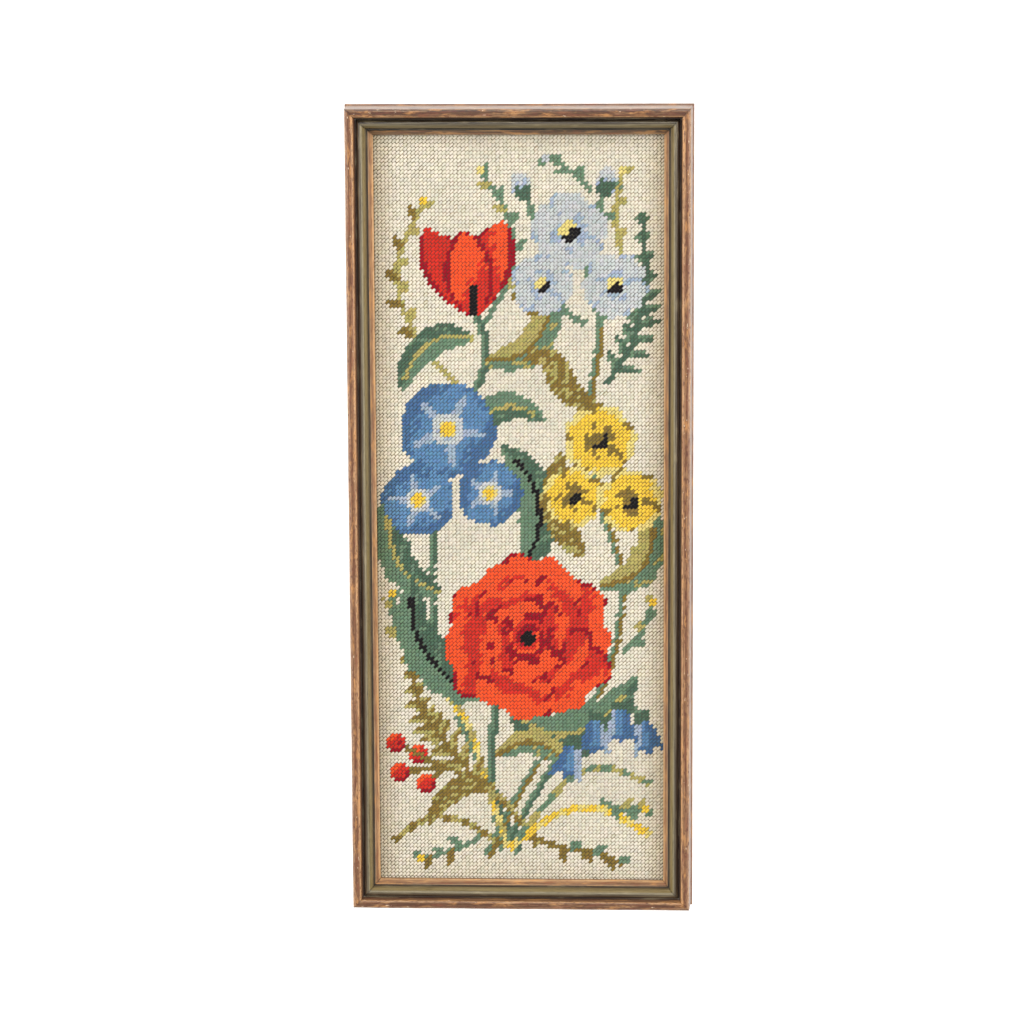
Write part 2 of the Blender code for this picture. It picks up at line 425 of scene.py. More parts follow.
def make_rail(side, material, seed):
    """A mitred length of moulding, its edges a little uneven from wear."""
    long_way = side in ("left", "right")
    length = (OPENING_HEIGHT if long_way else OPENING_WIDTH) + 2 * RAIL_WIDTH
    steps = LONG_RINGS if long_way else SHORT_RINGS
    ends = MITRE_PLACES / length
    share = np.concatenate([ends, np.linspace(0, 1, steps)[1:-1], 1 - ends[::-1]])[:, None]
    steps = len(share)
    out, height = SECTION[None, :-1, 0], SECTION[None, :-1, 1]
    face = np.clip((height - WEAR_FROM) / WEAR_SETS_IN, 0, 1)
    waves = LONG_WAVES if long_way else SHORT_WAVES
    wander = soft_wave(np.repeat(share, out.shape[1], 1) * waves, seed)
    out = out - EDGE_WEAR * wander * face * (out > OUTER_EDGE) - FACE_WEAR * face
    height = height - HEIGHT_WEAR * (1 + wander) * face
    points = place_on_rail(side, out, height, share).reshape(-1, 3)
    count = SECTION.shape[0] - 1
    faces = []
    for ring in range(steps - 1):
        for k in range(count):
            a, b = ring * count + k, ring * count + (k + 1) % count
            faces.append((a, b, b + count, a + count))
    faces.append(tuple(range(count))[::-1])
    faces.append(tuple((steps - 1) * count + k for k in range(count)))
    if side in ("left", "top"):
        faces = [face[::-1] for face in faces]
    rail = make_mesh("moulding_" + side, points, faces, material)
    rail.data.set_sharp_from_angle(angle=SHARP_ANGLE)
    run = points[:, 1 if long_way else 0]
    long_side = np.abs(run).max()
    grain = np.full(len(run), seed * GRAIN_SHIFT)
    wood = np.stack([run, np.tile(WAY_ROUND[:-1], steps), grain], -1)
    wood_layer = rail.data.attributes.new("wood", "FLOAT_VECTOR", "POINT")
    wood_layer.data.foreach_set("vector", wood.ravel())
    way = wood[:, 1] + PAINT_WANDER * wander.ravel()
    # The paint attribute: each member's paint and painted highlights, times this rail's painted
    # light and shade and the dark line at each mitre.
    paint = np.stack([np.interp(way, WAY_ROUND, part) for part in PAINTS_WITH_PAINTED_LIGHT.T], -1)
    at_mitre = np.minimum(share, 1 - share) * length
    # Painted light and shade of this rail, times the dark line at each mitre.
    tone = np.interp(SECTION[None, :-1, 0] / MM, PAINTED_LIGHT_PLACES, RAIL_PAINTED_LIGHT[side])
    tone = tone * np.interp(at_mitre, MITRE_PLACES, MITRE_TONES)
    paint *= tone.reshape(-1, 1)
    paint = np.concatenate([paint, np.ones((len(paint), 1))], -1)
    paint_layer = rail.data.attributes.new("paint", "FLOAT_COLOR", "POINT")
    paint_layer.data.foreach_set("color", paint.ravel())
    add_strip_map(rail, wood[:, 0] / (2 * long_side) + 0.5, wood[:, 1] / GIRTH, count)
    return rail


def add_strip_map(rail, u, v, count):
    """Unrolls the rail to a strip: along it, and round its section."""
    layer = rail.data.uv_layers.new(name="OFBake")
    loops = np.empty(len(rail.data.loops), int)
    rail.data.loops.foreach_get("vertex_index", loops)
    spots = np.stack([u[loops], v[loops]], -1)
    last = count - 1
    for polygon in rail.data.polygons:
        own = range(polygon.loop_start, polygon.loop_start + polygon.loop_total)
        rounds = [loops[k] % count for k in own]
        if polygon.loop_total == 4 and last in rounds and 0 in rounds:
            for k in own:
                if loops[k] % count == 0:
                    spots[k, 1] = 1.0
    layer.data.foreach_set("uv", spots.ravel().astype(np.float32))


# Patterns in the paint: how often each repeats along the rail, round it and from rail to
# rail, its detail, and its roughness.
PATTERNS = {
    "streak": ((26.0, 2300.0, 1.0), 5.0, 0.6),
    "pore": ((260.0, 2600.0, 1.0), 3.0, 0.6),
    "patch": ((70.0, 400.0, 1.0), 3.0, 0.5),
    "tinge": ((90.0, 420.0, 2.0), 4.0, 0.6),
    "dash": ((420.0, 1900.0, 1.0), 2.0, 0.5),
    "chip": ((330.0, 1300.0, 1.0), 2.0, 0.5),
}
DARK_OLIVE, DARK_BROWN = (60, 49, 34), (82, 44, 26)
PALE_OLIVE, PALE_BROWN = (150, 136, 104), (202, 158, 112)
GOLDEN, REDDISH = (206, 146, 84), (128, 72, 46)
DASH, CHIP = (84, 42, 26), (226, 200, 168)


def moulding_material():
    """Brown and olive paint over wood, with painted light: grain along the rail, dashes and chips
    on the bead.
    """
    material, tree, shader = new_material("painted_moulding", 0.4, specular=0.5)
    wood = add_node(tree, "ShaderNodeAttribute", attribute_name="wood").outputs["Vector"]
    # The paint attribute carries each rail's painted light and shade along with its paint.
    paint = add_node(tree, "ShaderNodeAttribute", attribute_name="paint").outputs["Color"]
    girth = add_node(tree, "ShaderNodeSeparateXYZ", {0: wood}).outputs[1]
    streak, pore, patch, tinge, dash, chip = [
        noise(tree, stretched(tree, wood, scale), 1.0, detail, roughness)
        for scale, detail, roughness in PATTERNS.values()
    ]
    bead = window(tree, girth, "bead_wall", "foot_side")
    lip = window(tree, girth, "lip_edge", "lip_face")
    brown = calc(tree, "MAXIMUM", bead, lip)
    in_streaks = remap(tree, streak, 0.5, 0.7, 0.0, 0.7)
    dark = calc(tree, "ADD", in_streaks, remap(tree, pore, 0.53, 0.68, 0.0, 0.6))
    dark_paint = mix_colour(tree, brown, linear(DARK_OLIVE), linear(DARK_BROWN))
    colour = mix_colour(tree, dark, paint, dark_paint)
    beside_streaks = remap(tree, streak, 0.48, 0.28, 0.0, 0.7)
    pale = calc(tree, "ADD", beside_streaks, remap(tree, patch, 0.58, 0.72, 0.0, 0.35))
    pale_paint = mix_colour(tree, brown, linear(PALE_OLIVE), linear(PALE_BROWN))
    colour = mix_colour(tree, pale, colour, pale_paint)
    golden = calc(tree, "MULTIPLY", brown, remap(tree, tinge, 0.52, 0.66, 0.0, 0.5))
    colour = mix_colour(tree, golden, colour, linear(GOLDEN))
    reddish = calc(tree, "MULTIPLY", brown, remap(tree, tinge, 0.47, 0.34, 0.0, 0.5))
    colour = mix_colour(tree, reddish, colour, linear(REDDISH))
    crown = window(tree, girth, "bead_inner", "bead_outer")
    dashes = calc(tree, "MULTIPLY", crown, remap(tree, dash, 0.56, 0.62, 0.0, 0.8))
    colour = mix_colour(tree, dashes, colour, linear(DASH))
    worn = calc(tree, "MULTIPLY", crown, remap(tree, chip, 0.72, 0.75))
    colour = mix_colour(tree, worn, colour, linear(CHIP))
    tree.links.new(colour, shader.inputs["Base Color"])
    tree.links.new(remap(tree, pore, 0.2, 0.8, 0.3, 0.5), shader.inputs["Roughness"])
    pits = bump(tree, pore, 0.35, 0.1 * MM, bump(tree, streak, 0.35, 0.12 * MM))
    tree.links.new(pits, shader.inputs["Normal"])
    return material


def window(tree, girth, first, last):
    """1 between the start of one member and the end of another, and 0 elsewhere."""
    names = [row[0] for row in MEMBERS]
    ends = np.cumsum([0] + [row[3] for row in MEMBERS])
    start = float(WAY_ROUND[ends[names.index(first)]])
    end = float(WAY_ROUND[ends[names.index(last) + 1]])
    after = calc(tree, "GREATER_THAN", girth, start)
    return calc(tree, "MULTIPLY", after, calc(tree, "LESS_THAN", girth, end))


# The chart. It holds the yarn of each stitch, row 0 at the bottom.

chart = np.zeros((ROWS, COLUMNS), int)
GRID_Y, GRID_X = np.mgrid[0:ROWS, 0:COLUMNS] + 0.5
GRAIN = np.random.default_rng(12).random((ROWS, COLUMNS))
# Steps in a drawn line, and the distance given to stitches past a line's ends.
LINE_STEPS = 90
BEYOND = 99.0
# How far along a leaf it is broadest.
LEAF_BELLY = 0.45
BERRY_RADIUS = 2.4


def curve(points):
    """A smooth line through the points, as an array of places along it."""
    knots = np.array([points[0], *points, points[-1]], float)
    spans = len(knots) - 3
    places = []
    for t in np.linspace(0, spans, LINE_STEPS, endpoint=False):
        span = int(t)
        f = t - span
        a, b, c, d = knots[span : span + 4]
        turn = 2 * a - 5 * b + 4 * c - d
        places.append(0.5 * (2 * b + (c - a) * f + turn * f**2 + (3 * b - a - 3 * c + d) * f**3))
    places.append(knots[-2])
    return np.array(places)


def along(points):
    """For each stitch: how far along the line it lies, how far to its left, and how far away."""
    line = curve(points)
    heading = np.gradient(line, axis=0)
    heading /= np.linalg.norm(heading, axis=1)[:, None]
    dx = GRID_X[..., None] - line[:, 0]
    dy = GRID_Y[..., None] - line[:, 1]
    nearest = (dx**2 + dy**2).argmin(-1)
    dx = np.take_along_axis(dx, nearest[..., None], -1)[..., 0]
    dy = np.take_along_axis(dy, nearest[..., None], -1)[..., 0]
    way = heading[nearest]
    side = way[..., 0] * dy - way[..., 1] * dx
    ahead = way[..., 0] * dx + way[..., 1] * dy
    share = nearest / (len(line) - 1)
    beyond = ((nearest == 0) | (nearest == len(line) - 1)) & (np.abs(ahead) > 0.5)
    return share, np.where(beyond, BEYOND, side), np.hypot(dx, dy)


def put(where, level, tones, jitter=0.1):
    """Works the chosen stitches in the tones, by a level from 0 to 1."""
    level = level + jitter * (GRAIN - 0.5) * 2
    index = np.clip((level * len(tones)).astype(int), 0, len(tones) - 1)
    inks = np.array([INK[tone] for tone in tones])
    chart[where] = inks[index][where]


def stem(points, tones=("sage",), width=1.0):
    """A stalk, lighter on its left side where it has two tones."""
    _, side, distance = along(points)
    where = (distance < 0.25 + width / 2) & (np.abs(side) < BEYOND)
    put(where, np.where(side > 0, 0.75, 0.25), tones, jitter=0.15)


def leaf(points, width, tones, vein="khaki", teeth=0.0, ribs=5):
    """A leaf on a curved midrib: darker right half, lighter left half, ribs between."""
    share, side, _ = along(points)
    half = width / 2 * np.sin(np.pi * share ** (np.log(0.5) / np.log(LEAF_BELLY))) ** 0.8
    half = half * (1 + teeth * np.sin(share * 40))
    where = np.abs(side) < np.maximum(half, 0.3)
    reach = np.abs(side) / (width / 2)
    rib = np.abs(((share * ribs - reach * 0.8) % 1.0) - 0.5) > 0.36
    put(where, 0.3 + 0.45 * (side > 0) + 0.22 * rib, tones)
    if vein:
        put(where & (np.abs(side) < 0.55) & (share < 0.85), side * 0, (vein,))


def petal(base, angle, length, width, tones, tip=0.5, broad=0.62, curl=0.0, streaks=0.16,
          slant=0.15):
    """A petal seen on its face, dark at its base and light at its rim."""
    c, s = math.cos(math.radians(angle)), math.sin(math.radians(angle))
    dx, dy = GRID_X - base[0], GRID_Y - base[1]
    a = (dx * c + dy * s) / length
    b = (-dx * s + dy * c) / (width / 2) - curl * a**2
    power = tip * broad / (1 - broad)
    safe = np.clip(a, 1e-3, 1 - 1e-3)
    outline = (safe / broad) ** power * ((1 - safe) / (1 - broad)) ** tip
    where = (a > 0) & (a < 1) & (np.abs(b) < outline)
    put(where, safe * 0.9 + slant * b + streaks * np.sin(b * 9 + angle * 0.7), tones, jitter=0.09)


def disc(centre, radius, tones):
    dx, dy = GRID_X - centre[0], GRID_Y - centre[1]
    put(np.hypot(dx, dy) < radius, 0.5 + (0.27 * dy - 0.22 * dx) / max(radius, 0.5), tones)


def work(where, tone):
    """Works the chosen stitches in one tone."""
    chart[where] = INK[tone]


def cupped(base, angle, length, width, body, rim="orange", shade="crimson", curl=0.0, foot=0.5):
    """A broad petal in flat tones: deep at its foot and along one edge, light at its rim."""
    c, s = math.cos(math.radians(angle)), math.sin(math.radians(angle))
    dx, dy = GRID_X - base[0], GRID_Y - base[1]
    a = (dx * c + dy * s) / length
    b = (-dx * s + dy * c) / (width / 2) - curl * a**2
    a = a / (1 + 0.04 * np.sin(b * 6 + angle))
    safe = np.clip(a, 1e-3, 1 - 1e-3)
    outline = (safe / 0.7) ** 0.8 * ((1 - safe) / 0.3) ** 0.34
    where = (a > 0) & (a < 1) & (np.abs(b) < outline)
    loose = 0.1 * (GRAIN - 0.5)
    work(where, body)
    work(where & (a < foot + loose + 0.14 * np.sin(b * 4 + angle)), shade)
    work(where & (a > foot) & (a < foot + 0.16 + loose) & (np.sin(b * 8 + angle) > 0.5), shade)
    work(where & (a > 0.80 + loose + 0.12 * b), rim)
    work(where & (b > outline - 2.2 / width) & (a > 0.3), shade)


def open_flower(centre, radius, tones, heart, turn=0.0):
    """An open flower of five broad petals: body, rim and shade tones, round a heart."""
    body, rim, shade = tones
    for angle in (0, 72, 144, 216, 288):
        cupped(centre, turn + angle, radius, radius, body, rim, shade, foot=0.28)
    disc(centre, radius * 0.26, heart)


def rose(centre, r):
    """A full rose: three rounds of cupped petals, and a tight swirl at its heart."""
    for k, angle in enumerate((12, 72, 132, 192, 252, 312)):
        body = ("red", "orange", "red", "red", "orange", "red")[k]
        cupped(centre, angle, r * (1.0 + 0.05 * math.sin(3 * k)), r * 1.06, body, curl=0.2)
    for k, angle in enumerate((40, 112, 184, 256, 328)):
        body = ("orange", "red", "orange", "orange", "red")[k]
        rim = "orange" if body == "red" else "red"
        cupped(centre, angle, r * 0.72, r * 0.86, body, rim=rim, curl=0.25)
    for k, angle in enumerate((15, 105, 195, 285)):
        cupped(centre, angle, r * 0.46, r * 0.62, ("red", "orange")[k % 2], curl=0.3)
    dx, dy = GRID_X - centre[0], GRID_Y - centre[1]
    radius = np.hypot(dx, dy)
    spiral = (np.arctan2(dy, dx) / (2 * np.pi) + radius / (0.15 * r)) % 1.0
    work(radius < 0.25 * r, "red")
    work((radius < 0.25 * r) & (spiral < 0.42), "crimson")
    work((radius < 0.25 * r) & (spiral > 0.8), "orange")
    work(radius < 0.075 * r, "black")


def tulip(foot, height, lean=0.0):
    """A tulip in side view: two back petals, two flanks and a front one, in flat tones."""
    up = 90 + lean
    deep = ("crimson", "crimson")
    for hand in (1, -1):
        petal(foot, up + hand * 19, height * 0.98, height * 0.50, deep, tip=0.75, broad=0.55,
              curl=hand * 0.35)
    for hand, tones in ((1, ("crimson", "red", "red")), (-1, ("red", "red", "orange"))):
        petal(foot, up + hand * 14, height, height * 0.44, tones, tip=0.8, broad=0.45,
              curl=hand * 0.75, slant=hand * 0.35, streaks=0.0)
    petal(foot, up, height * 0.86, height * 0.50, deep, tip=0.7, broad=0.48, streaks=0.0)
    petal(foot, up, height * 0.84, height * 0.40, ("red", "orange", "orange"), tip=0.7,
          broad=0.48, slant=0.3, streaks=0.06)
    stem([foot, (foot[0], foot[1] + height * 0.28)], ("black",), 0.9)


def trumpet(centre, radius, turn=0.0):
    """A funnel flower on its face: five joined lobes, with a pale star and a gold throat."""
    dx, dy = GRID_X - centre[0], GRID_Y - centre[1]
    r = np.hypot(dx, dy) / radius
    theta = np.arctan2(dy, dx) + math.radians(turn)
    lobe = np.cos(5 * theta)
    inside = r < 0.93 + 0.09 * np.abs(np.cos(2.5 * theta)) ** 0.6
    star = 0.42 + 0.4 * np.maximum(lobe, 0) ** 3
    level = 0.92 - 0.55 * np.clip((r - 0.2) / 0.8, 0, 1) + 0.13 * np.sin(theta * 2 - 0.8)
    put(inside, level, ("deep_blue", "deep_blue", "mid_blue", "mid_blue"), jitter=0.12)
    put(inside & (r < star) & (lobe > 0.35), r * 0, ("pale_blue",))
    put(r < 0.36, 0.4 + r * 0.8, ("pale_blue", "white"), jitter=0.15)
    put(r < 0.2, r * 3, ("gold", "straw"))


def bell(top, angle, length, width):
    """A nodding bell in side view, its rim flared and cut in three lobes."""
    c, s = math.cos(math.radians(angle)), math.sin(math.radians(angle))
    dx, dy = GRID_X - top[0], GRID_Y - top[1]
    a = (dx * c + dy * s) / length
    b = (-dx * s + dy * c) / (width / 2)
    reach = np.clip(a, 0, 1)
    half = 0.22 + 0.42 * np.sin(reach * 2.2) + 0.42 * reach**5
    where = (a > 0) & (a < 1.0 - 0.16 * np.abs(np.sin(b * 4.2))) & (np.abs(b) < half)
    hand = 1 if c < 0 else -1
    work(where, "mid_blue")
    work(where & (hand * b < -0.25 * half), "deep_blue")
    work(where & (hand * b > 0.45 * half), "pale_blue")
    work(where & (a > 0.74) & (np.abs(b) < 0.45), "deep_blue")
    work((np.abs(a) < 0.13) & (np.abs(b) < 0.42), "pine")


def fern(points, reach, tones, pairs=11):
    """A frond: leaflets in pairs along a stalk, shorter towards its tip."""
    line = curve(points)
    for k in range(pairs):
        at = 0.12 + 0.84 * k / (pairs - 1)
        spot = int(at * (len(line) - 1))
        ahead = line[min(spot + 2, len(line) - 1)] - line[max(spot - 2, 0)]
        heading = math.atan2(ahead[1], ahead[0])
        size = reach * (1 - 0.72 * at) * (0.75 + 0.25 * math.sin(at * math.pi))
        for hand in (-1, 1):
            way = heading + hand * math.radians(52)
            tip = line[spot] + size * np.array([math.cos(way), math.sin(way)])
            droop = 0.8 * hand * np.array([math.sin(way), -math.cos(way)])
            leaf([line[spot], (line[spot] + tip) / 2 + droop, tip], 2.6, tones, vein=None, ribs=1)
    stem(points, (tones[0],), 0.9)


def sprig(points, reach, tones, pairs, tip=None):
    """A thin stalk with leaves on one side and then the other, and a spot of colour at its tip."""
    line = curve(points)
    stem(points, (tones[0],), 0.9)
    for k in range(pairs):
        spot = int((0.3 + 0.66 * k / max(pairs - 1, 1)) * (len(line) - 1))
        ahead = line[min(spot + 2, len(line) - 1)] - line[max(spot - 2, 0)]
        way = math.atan2(ahead[1], ahead[0]) + (1 if k % 2 else -1) * math.radians(50)
        size = reach * (1 - 0.4 * k / pairs)
        end = line[spot] + size * np.array([math.cos(way), math.sin(way)])
        middle = (line[spot] + end) / 2
        leaf([line[spot], middle, end], 2.3, (tones[k % len(tones)],), vein=None, ribs=1)
    if tip:
        disc(line[-1], 1.5, (tip,))


def grass(points, tones, width=1.3):
    """A blade of grass, broken into dashes of two tones."""
    share, side, distance = along(points)
    where = (distance < 0.25 + width / 2) & (np.abs(side) < BEYOND)
    put(where, (share * 6.5) % 1.0, tones, jitter=0.2)


def berry(place, stalk_from):
    """A round berry on a thin stalk, in shade at its foot."""
    stem([stalk_from, place], ("olive",), 0.8)
    disc(place, BERRY_RADIUS, ("crimson", "red", "orange"))
    inside = np.hypot(GRID_X - place[0], GRID_Y - place[1]) < BERRY_RADIUS
    work(inside & (GRID_Y < place[1] - 1.3), "crimson")


def bud(base, angle, length, tones):
    """A closed flower between two green leaves."""
    petal(base, angle, length, length * 0.66, tones, tip=0.6, broad=0.5)
    for side in (-20, 20):
        petal(base, angle + side, length * 0.6, length * 0.34, ("pine",), tip=0.8, broad=0.4)


GREEN = ("pine", "pine", "sage", "sage")
SOFT = ("sage", "sage", "khaki", "khaki")
BROWN = ("olive", "olive", "khaki", "olive")


def draw_stalks():
    stem([(34, 9), (31, 30), (33, 52), (38, 66)], ("pine", "sage"), 1.8)
    stem([(38, 8), (27, 34), (17, 62), (16, 92), (22, 118), (30, 140), (28, 152)],
         ("pine", "sage"), 1.7)
    stem([(30, 7), (42, 30), (60, 52), (66, 80), (60, 104), (58, 130), (60, 150), (54, 172)],
         ("olive", "sage"), 1.8)
    stem([(60, 150), (64, 158)], ("sage",), 1.2)
    stem([(57, 160), (58, 172), (61, 184)], ("sage",), 1.2)
    stem([(50, 166), (44, 174), (41, 183)], ("sage",), 1.2)
    stem([(56, 150), (50, 154), (46, 160)], ("sage",), 1.2)
    stem([(36, 12), (44, 26), (53, 40), (64, 49), (71, 45)], ("pine", "sage"), 1.3)
    stem([(43, 10), (34, 22), (22, 30), (12, 33)], ("khaki", "olive"), 1.3)


def draw_grasses():
    grass([(36, 9), (48, 18), (60, 20), (73, 13)], ("gold", "straw", "gold"), 1.6)
    grass([(33, 10), (24, 16), (14, 17), (5, 11)], ("olive", "khaki"), 1.2)
    grass([(35, 10), (30, 26), (24, 44), (13, 58)], ("straw", "gold", "khaki"), 1.3)
    grass([(38, 12), (52, 28), (62, 31), (73, 27)], ("sage", "khaki"), 1.2)


def draw_fronds():
    fern([(30, 24), (20, 36), (13, 46), (9, 60)], 9, ("olive", "khaki"), 10)
    fern([(62, 134), (69, 146), (72, 160), (71, 178)], 8, ("pine", "sage"), 10)
    sprig([(60, 22), (66, 20), (72, 20)], 4, ("sage", "khaki"), 5, "gold")
    sprig([(42, 12), (50, 9), (58, 8), (66, 5)], 4, ("olive", "sage"), 6)
    sprig([(28, 12), (20, 8), (12, 6)], 4, ("sage", "olive"), 5, "gold")
    sprig([(24, 132), (12, 146), (7, 164), (14, 182)], 4.5, ("khaki", "olive"), 11, "gold")
    sprig([(30, 150), (37, 164), (36, 178), (29, 190)], 4, ("sage", "khaki"), 9, "straw")
    sprig([(12, 60), (6, 68), (5, 78)], 4, ("sage", "khaki"), 5, "gold")
    sprig([(48, 142), (46, 150), (42, 156), (36, 160)], 4, ("khaki", "olive"), 5)
    sprig([(66, 62), (71, 68), (74, 76)], 3.5, ("sage", "khaki"), 4, "gold")
    sprig([(58, 184), (52, 190), (46, 193)], 3.5, ("sage",), 4, "white")
    sprig([(66, 166), (64, 178), (66, 190)], 3.5, ("khaki", "sage"), 5, "straw")


def draw_leaves():
    leaf([(18, 78), (8, 84), (4, 96), (6, 108)], 9, GREEN, teeth=0.08)
    leaf([(30, 50), (19, 56), (11, 68), (10, 82)], 12, GREEN, teeth=0.1, vein="black")
    leaf([(36, 46), (48, 40), (60, 44), (70, 56)], 13, GREEN, teeth=0.1)
    leaf([(60, 80), (70, 84), (74, 94), (71, 108)], 9, SOFT, vein="olive", teeth=0.1)
    leaf([(40, 86), (44, 96), (42, 108), (34, 118)], 11, GREEN, teeth=0.08, vein="black")
    leaf([(56, 88), (50, 96), (48, 106), (50, 116)], 8, BROWN, vein=None)
    leaf([(30, 140), (40, 142), (46, 150), (47, 160)], 9, SOFT, vein="olive", teeth=0.08)
    leaf([(22, 120), (30, 126), (38, 128), (46, 124)], 8, GREEN)
    leaf([(27, 146), (18, 146), (11, 140), (8, 132)], 8, GREEN)
    leaf([(59, 128), (52, 132), (47, 140), (40, 141)], 7, BROWN, vein=None)
    leaf([(32, 34), (40, 38), (47, 36), (52, 30)], 7, SOFT, vein="olive")
    leaf([(32, 26), (24, 26), (18, 22), (14, 15)], 6, BROWN, vein=None)


def draw_flowers():
    for place in ((11.5, 34.5), (6.5, 29.5), (5.5, 37.5), (13.5, 26.5)):
        berry(place, (19, 31))
    for top, angle in (((71, 45), -78), ((65, 48), -86), ((59, 45), -95), ((53, 38), -104)):
        bell(top, angle, 10.5, 10.5)
    trumpet((20, 122), 12.5, 10)
    trumpet((12, 103), 9.5, 40)
    trumpet((31, 105), 8.5, 0)
    for centre, radius, turn in (((60, 119), 9.5, 0), ((68, 103), 8.5, 30), ((53, 104), 8.0, 12)):
        open_flower(centre, radius, ("gold", "straw", "olive"), ("black", "olive"), turn)
    for centre, radius, turn in (((52, 174), 10, 20), ((64, 160), 8.5, 50), ((45, 160), 8, 0)):
        open_flower(centre, radius, ("white", "white", "pale_blue"), ("black", "straw"), turn)
    tulip((27, 152), 26, 6)
    rose((41, 66), 21.5)
    bud((61, 183), 78, 8, ("pale_blue", "white"))
    bud((41, 182), 112, 8, ("pale_blue", "white"))


def draw_chart():
    draw_stalks()
    draw_grasses()
    draw_fronds()
    draw_leaves()
    draw_flowers()


# The stitches

# A strand's outline across, as shares of its half width and half height: plump on top,
# and spread low down, so that it closes against its neighbours.
ACROSS = ((1.25, -0.40), (0.80, 0.50), (0.22, 1.0), (-0.22, 1.0), (-0.80, 0.50), (-1.25, -0.40))
STRAND_SIDES = len(ACROSS)
# How far along it each ring lies, and its girth.
RINGS = ((0.065, 0.95), (0.30, 1.0), (0.70, 1.0), (0.935, 0.95))
HALF_WIDTH, HALF_HEIGHT = 0.72 * MM, 0.58 * MM
# How deep its middle line ends in the canvas, its tips below that, and how fast it rises:
# the smaller, the flatter its top.
SINK, TIP_SINK, RISE_POWER = 0.25 * MM, 0.1 * MM, 0.26
# How far rows and columns wander, how far single stitches stray, how they turn, and by what
# share they are thicker or thinner, or lie lower.
WANDER, STRAY, STITCH_TURN = 0.05 * PITCH, 0.04 * MM, np.radians(3.0)
PLUMPER, LOWER = 0.05, 0.05


def stitch_form():
    """One stitch about the crossing it covers: points, three-sided faces, four-sided faces."""
    reach = PITCH / 2
    sink = GROUND_TOP - SINK
    along_way = np.array([1.0, 1.0, 0.0]) / math.sqrt(2)
    side_way = np.array([1.0, -1.0, 0.0]) / math.sqrt(2)
    length = 2 * reach * math.sqrt(2)
    points = []
    for t, girth in RINGS:
        rise = math.sin(math.pi * t) ** RISE_POWER
        middle = sink + (STITCH_CROWN - HALF_HEIGHT - sink) * rise
        for sideways, upwards in ACROSS:
            width = HALF_WIDTH * girth * sideways
            level = np.array([0, 0, middle + HALF_HEIGHT * girth * upwards])
            points.append(along_way * (t - 0.5) * length + side_way * width + level)
    for end in (-0.5, 0.5):
        points.append(along_way * end * length + np.array([0, 0, sink - TIP_SINK]))
    sides = STRAND_SIDES
    quads = []
    for ring in range(len(RINGS) - 1):
        for k in range(sides):
            a, b = ring * sides + k, ring * sides + (k + 1) % sides
            quads.append((a, a + sides, b + sides, b))
    low, high = len(RINGS) * sides, len(RINGS) * sides + 1
    top = (len(RINGS) - 1) * sides
    tips = [(low, k, (k + 1) % sides) for k in range(sides)]
    tips += [(high, top + (k + 1) % sides, top + k) for k in range(sides)]
    return np.array(points), np.array(tips), np.array(quads)


FORM, TIPS, QUADS = stitch_form()


def work_stitches(name, rows, columns, material, seed):
    """All the stitches at these rows and columns as one mesh, each a little its own."""
    dice = np.random.default_rng(seed)
    count = len(rows)
    x = (columns + 0.5 - COLUMNS / 2) * PITCH
    y = (rows + 0.5 - ROWS / 2) * PITCH
    drift = np.stack([
        x + WANDER * np.sin(y * 41 + 1.3) + STRAY * dice.standard_normal(count),
        y + WANDER * np.sin(x * 67 + 0.4) + STRAY * dice.standard_normal(count),
    ], -1)
    turn = STITCH_TURN * dice.standard_normal(count)
    plump = 1 + PLUMPER * dice.standard_normal(count)
    lift = 1 - LOWER * np.abs(dice.standard_normal(count))
    c, s = np.cos(turn)[:, None], np.sin(turn)[:, None]
    px, py, pz = FORM[None, :, 0], FORM[None, :, 1], FORM[None, :, 2]
    along_way, side_way = (px + py) / 2, (px - py) / 2 * plump[:, None]
    px, py = along_way + side_way, along_way - side_way
    places = np.empty((count, len(FORM), 3))
    places[..., 0] = drift[:, 0:1] + c * px - s * py
    places[..., 1] = drift[:, 1:2] + s * px + c * py
    places[..., 2] = CANVAS_LOW.z + (pz - CANVAS_LOW.z) * lift[:, None]
    first = (np.arange(count) * len(FORM))[:, None, None]
    tips = (TIPS[None] + first).reshape(-1, 3)
    quads = (QUADS[None] + first).reshape(-1, 4)
    corners = np.concatenate([tips.ravel(), quads.ravel()]).astype(np.int32)
    sizes = np.concatenate([np.full(len(tips), 3), np.full(len(quads), 4)])
    starts = np.concatenate([[0], np.cumsum(sizes)[:-1]]).astype(np.int32)
    mesh = bpy.data.meshes.new(name)
    mesh.vertices.add(count * len(FORM))
    mesh.vertices.foreach_set("co", places.ravel())
    mesh.loops.add(len(corners))
    mesh.loops.foreach_set("vertex_index", corners)
    mesh.polygons.add(len(sizes))
    mesh.polygons.foreach_set("loop_start", starts)
    mesh.update(calc_edges=True)
    mesh.validate()
    mesh.shade_smooth()
    mesh.materials.append(material)
    obj = bpy.data.objects.new(name, mesh)
    bpy.context.scene.collection.objects.link(obj)
    add_flat_map(obj)
    return obj


def add_flat_map(obj):
    """A map that looks straight down on the piece and fills the square."""
    mesh = obj.data
    places = np.empty(len(mesh.vertices) * 3)
    mesh.vertices.foreach_get("co", places)
    flat = places.reshape(-1, 3)[:, :2]
    low, high = flat.min(0), flat.max(0)
    loops = np.empty(len(mesh.loops), int)
    mesh.loops.foreach_get("vertex_index", loops)
    spots = ((flat - low) / (high - low))[loops]
    mesh.uv_layers.new(name="OFBake").data.foreach_set("uv", spots.ravel().astype(np.float32))


